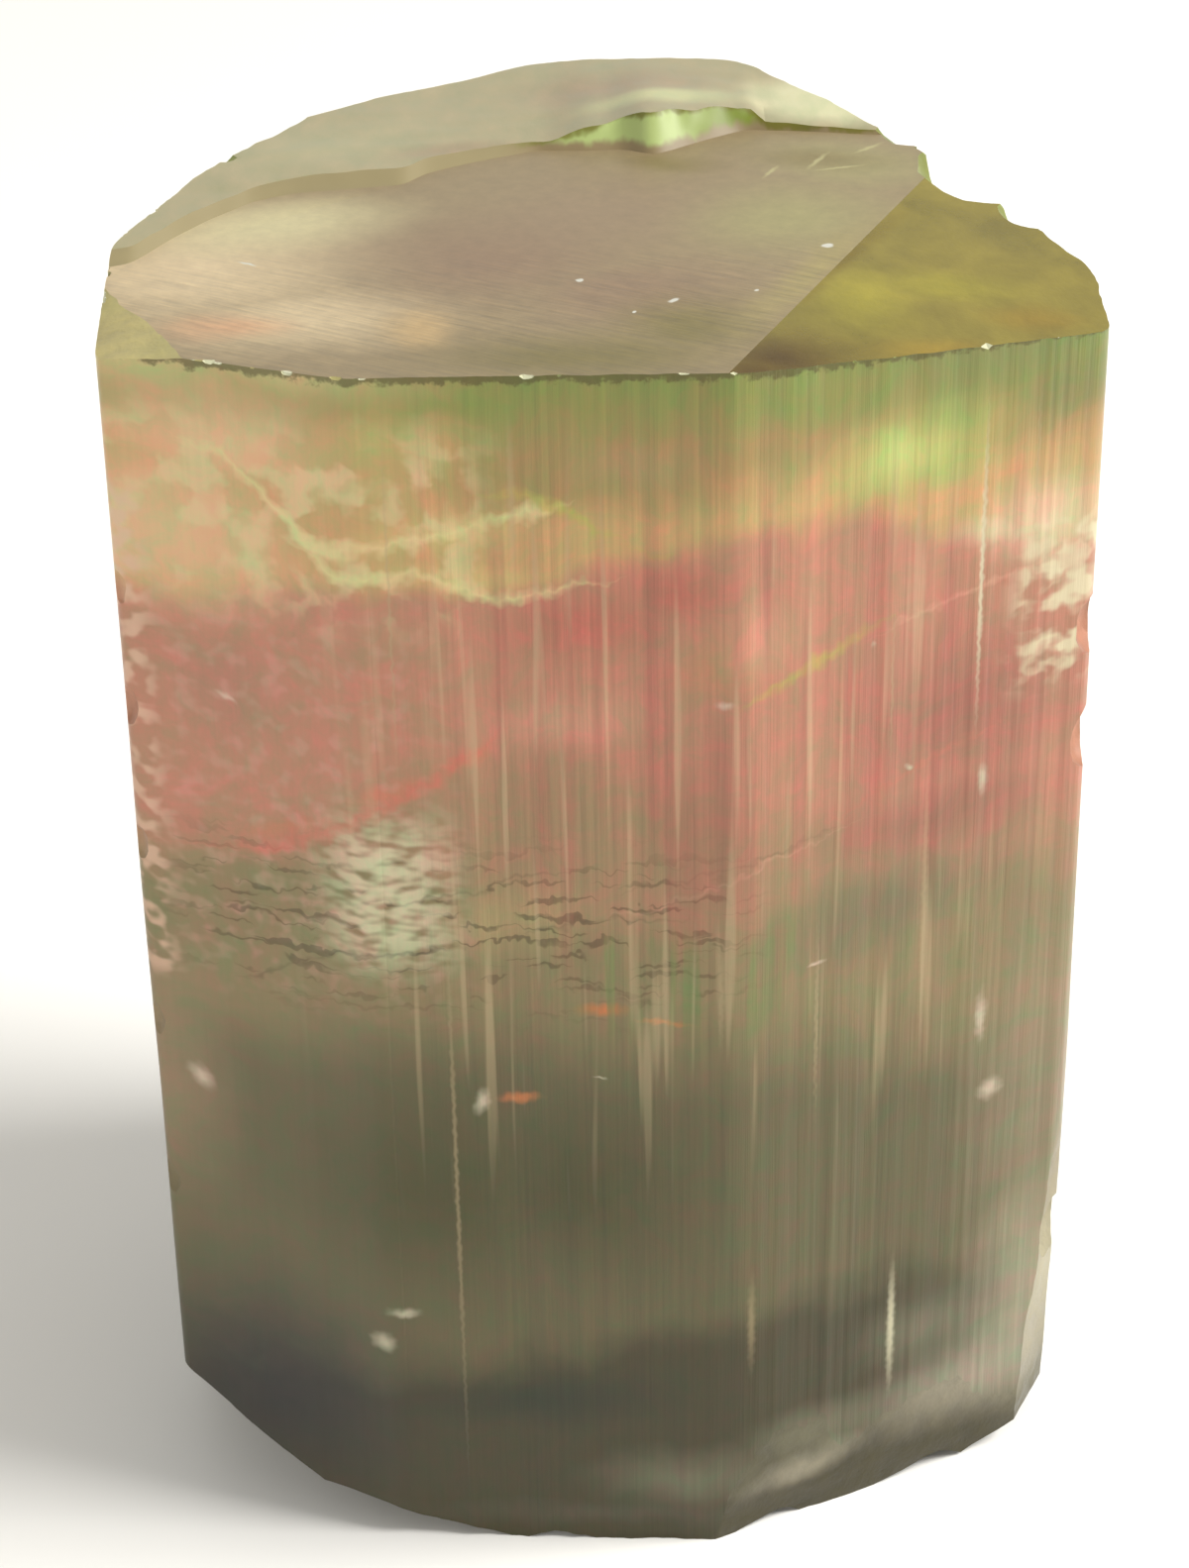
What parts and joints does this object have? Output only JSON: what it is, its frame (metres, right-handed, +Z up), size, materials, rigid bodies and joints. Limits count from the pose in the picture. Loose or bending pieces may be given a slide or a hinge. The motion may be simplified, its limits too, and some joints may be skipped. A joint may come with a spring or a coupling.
{
  "type": "natural tourmaline crystal specimen",
  "caption": "Stubby natural crystal standing upright: a rounded three-sided prism with striated sides, a broad flat top with a sloping face and a raised ledge, and a broken base.",
  "frame": {"origin": "middle of the base, on the surface that the crystal stands on", "axes": "+Z up along the crystal's long axis, front face towards -Y, +X to the right as seen from the front"},
  "size_m": [0.0212, 0.0188, 0.0311],
  "materials": {
    "tourmaline": "vitreous, cloudy and zoned from green through rose to dark olive, with lengthwise striations"
  },
  "bodies": {
    "root": {"tourmaline_crystal": "tourmaline"}
  },
  "joints": []
}
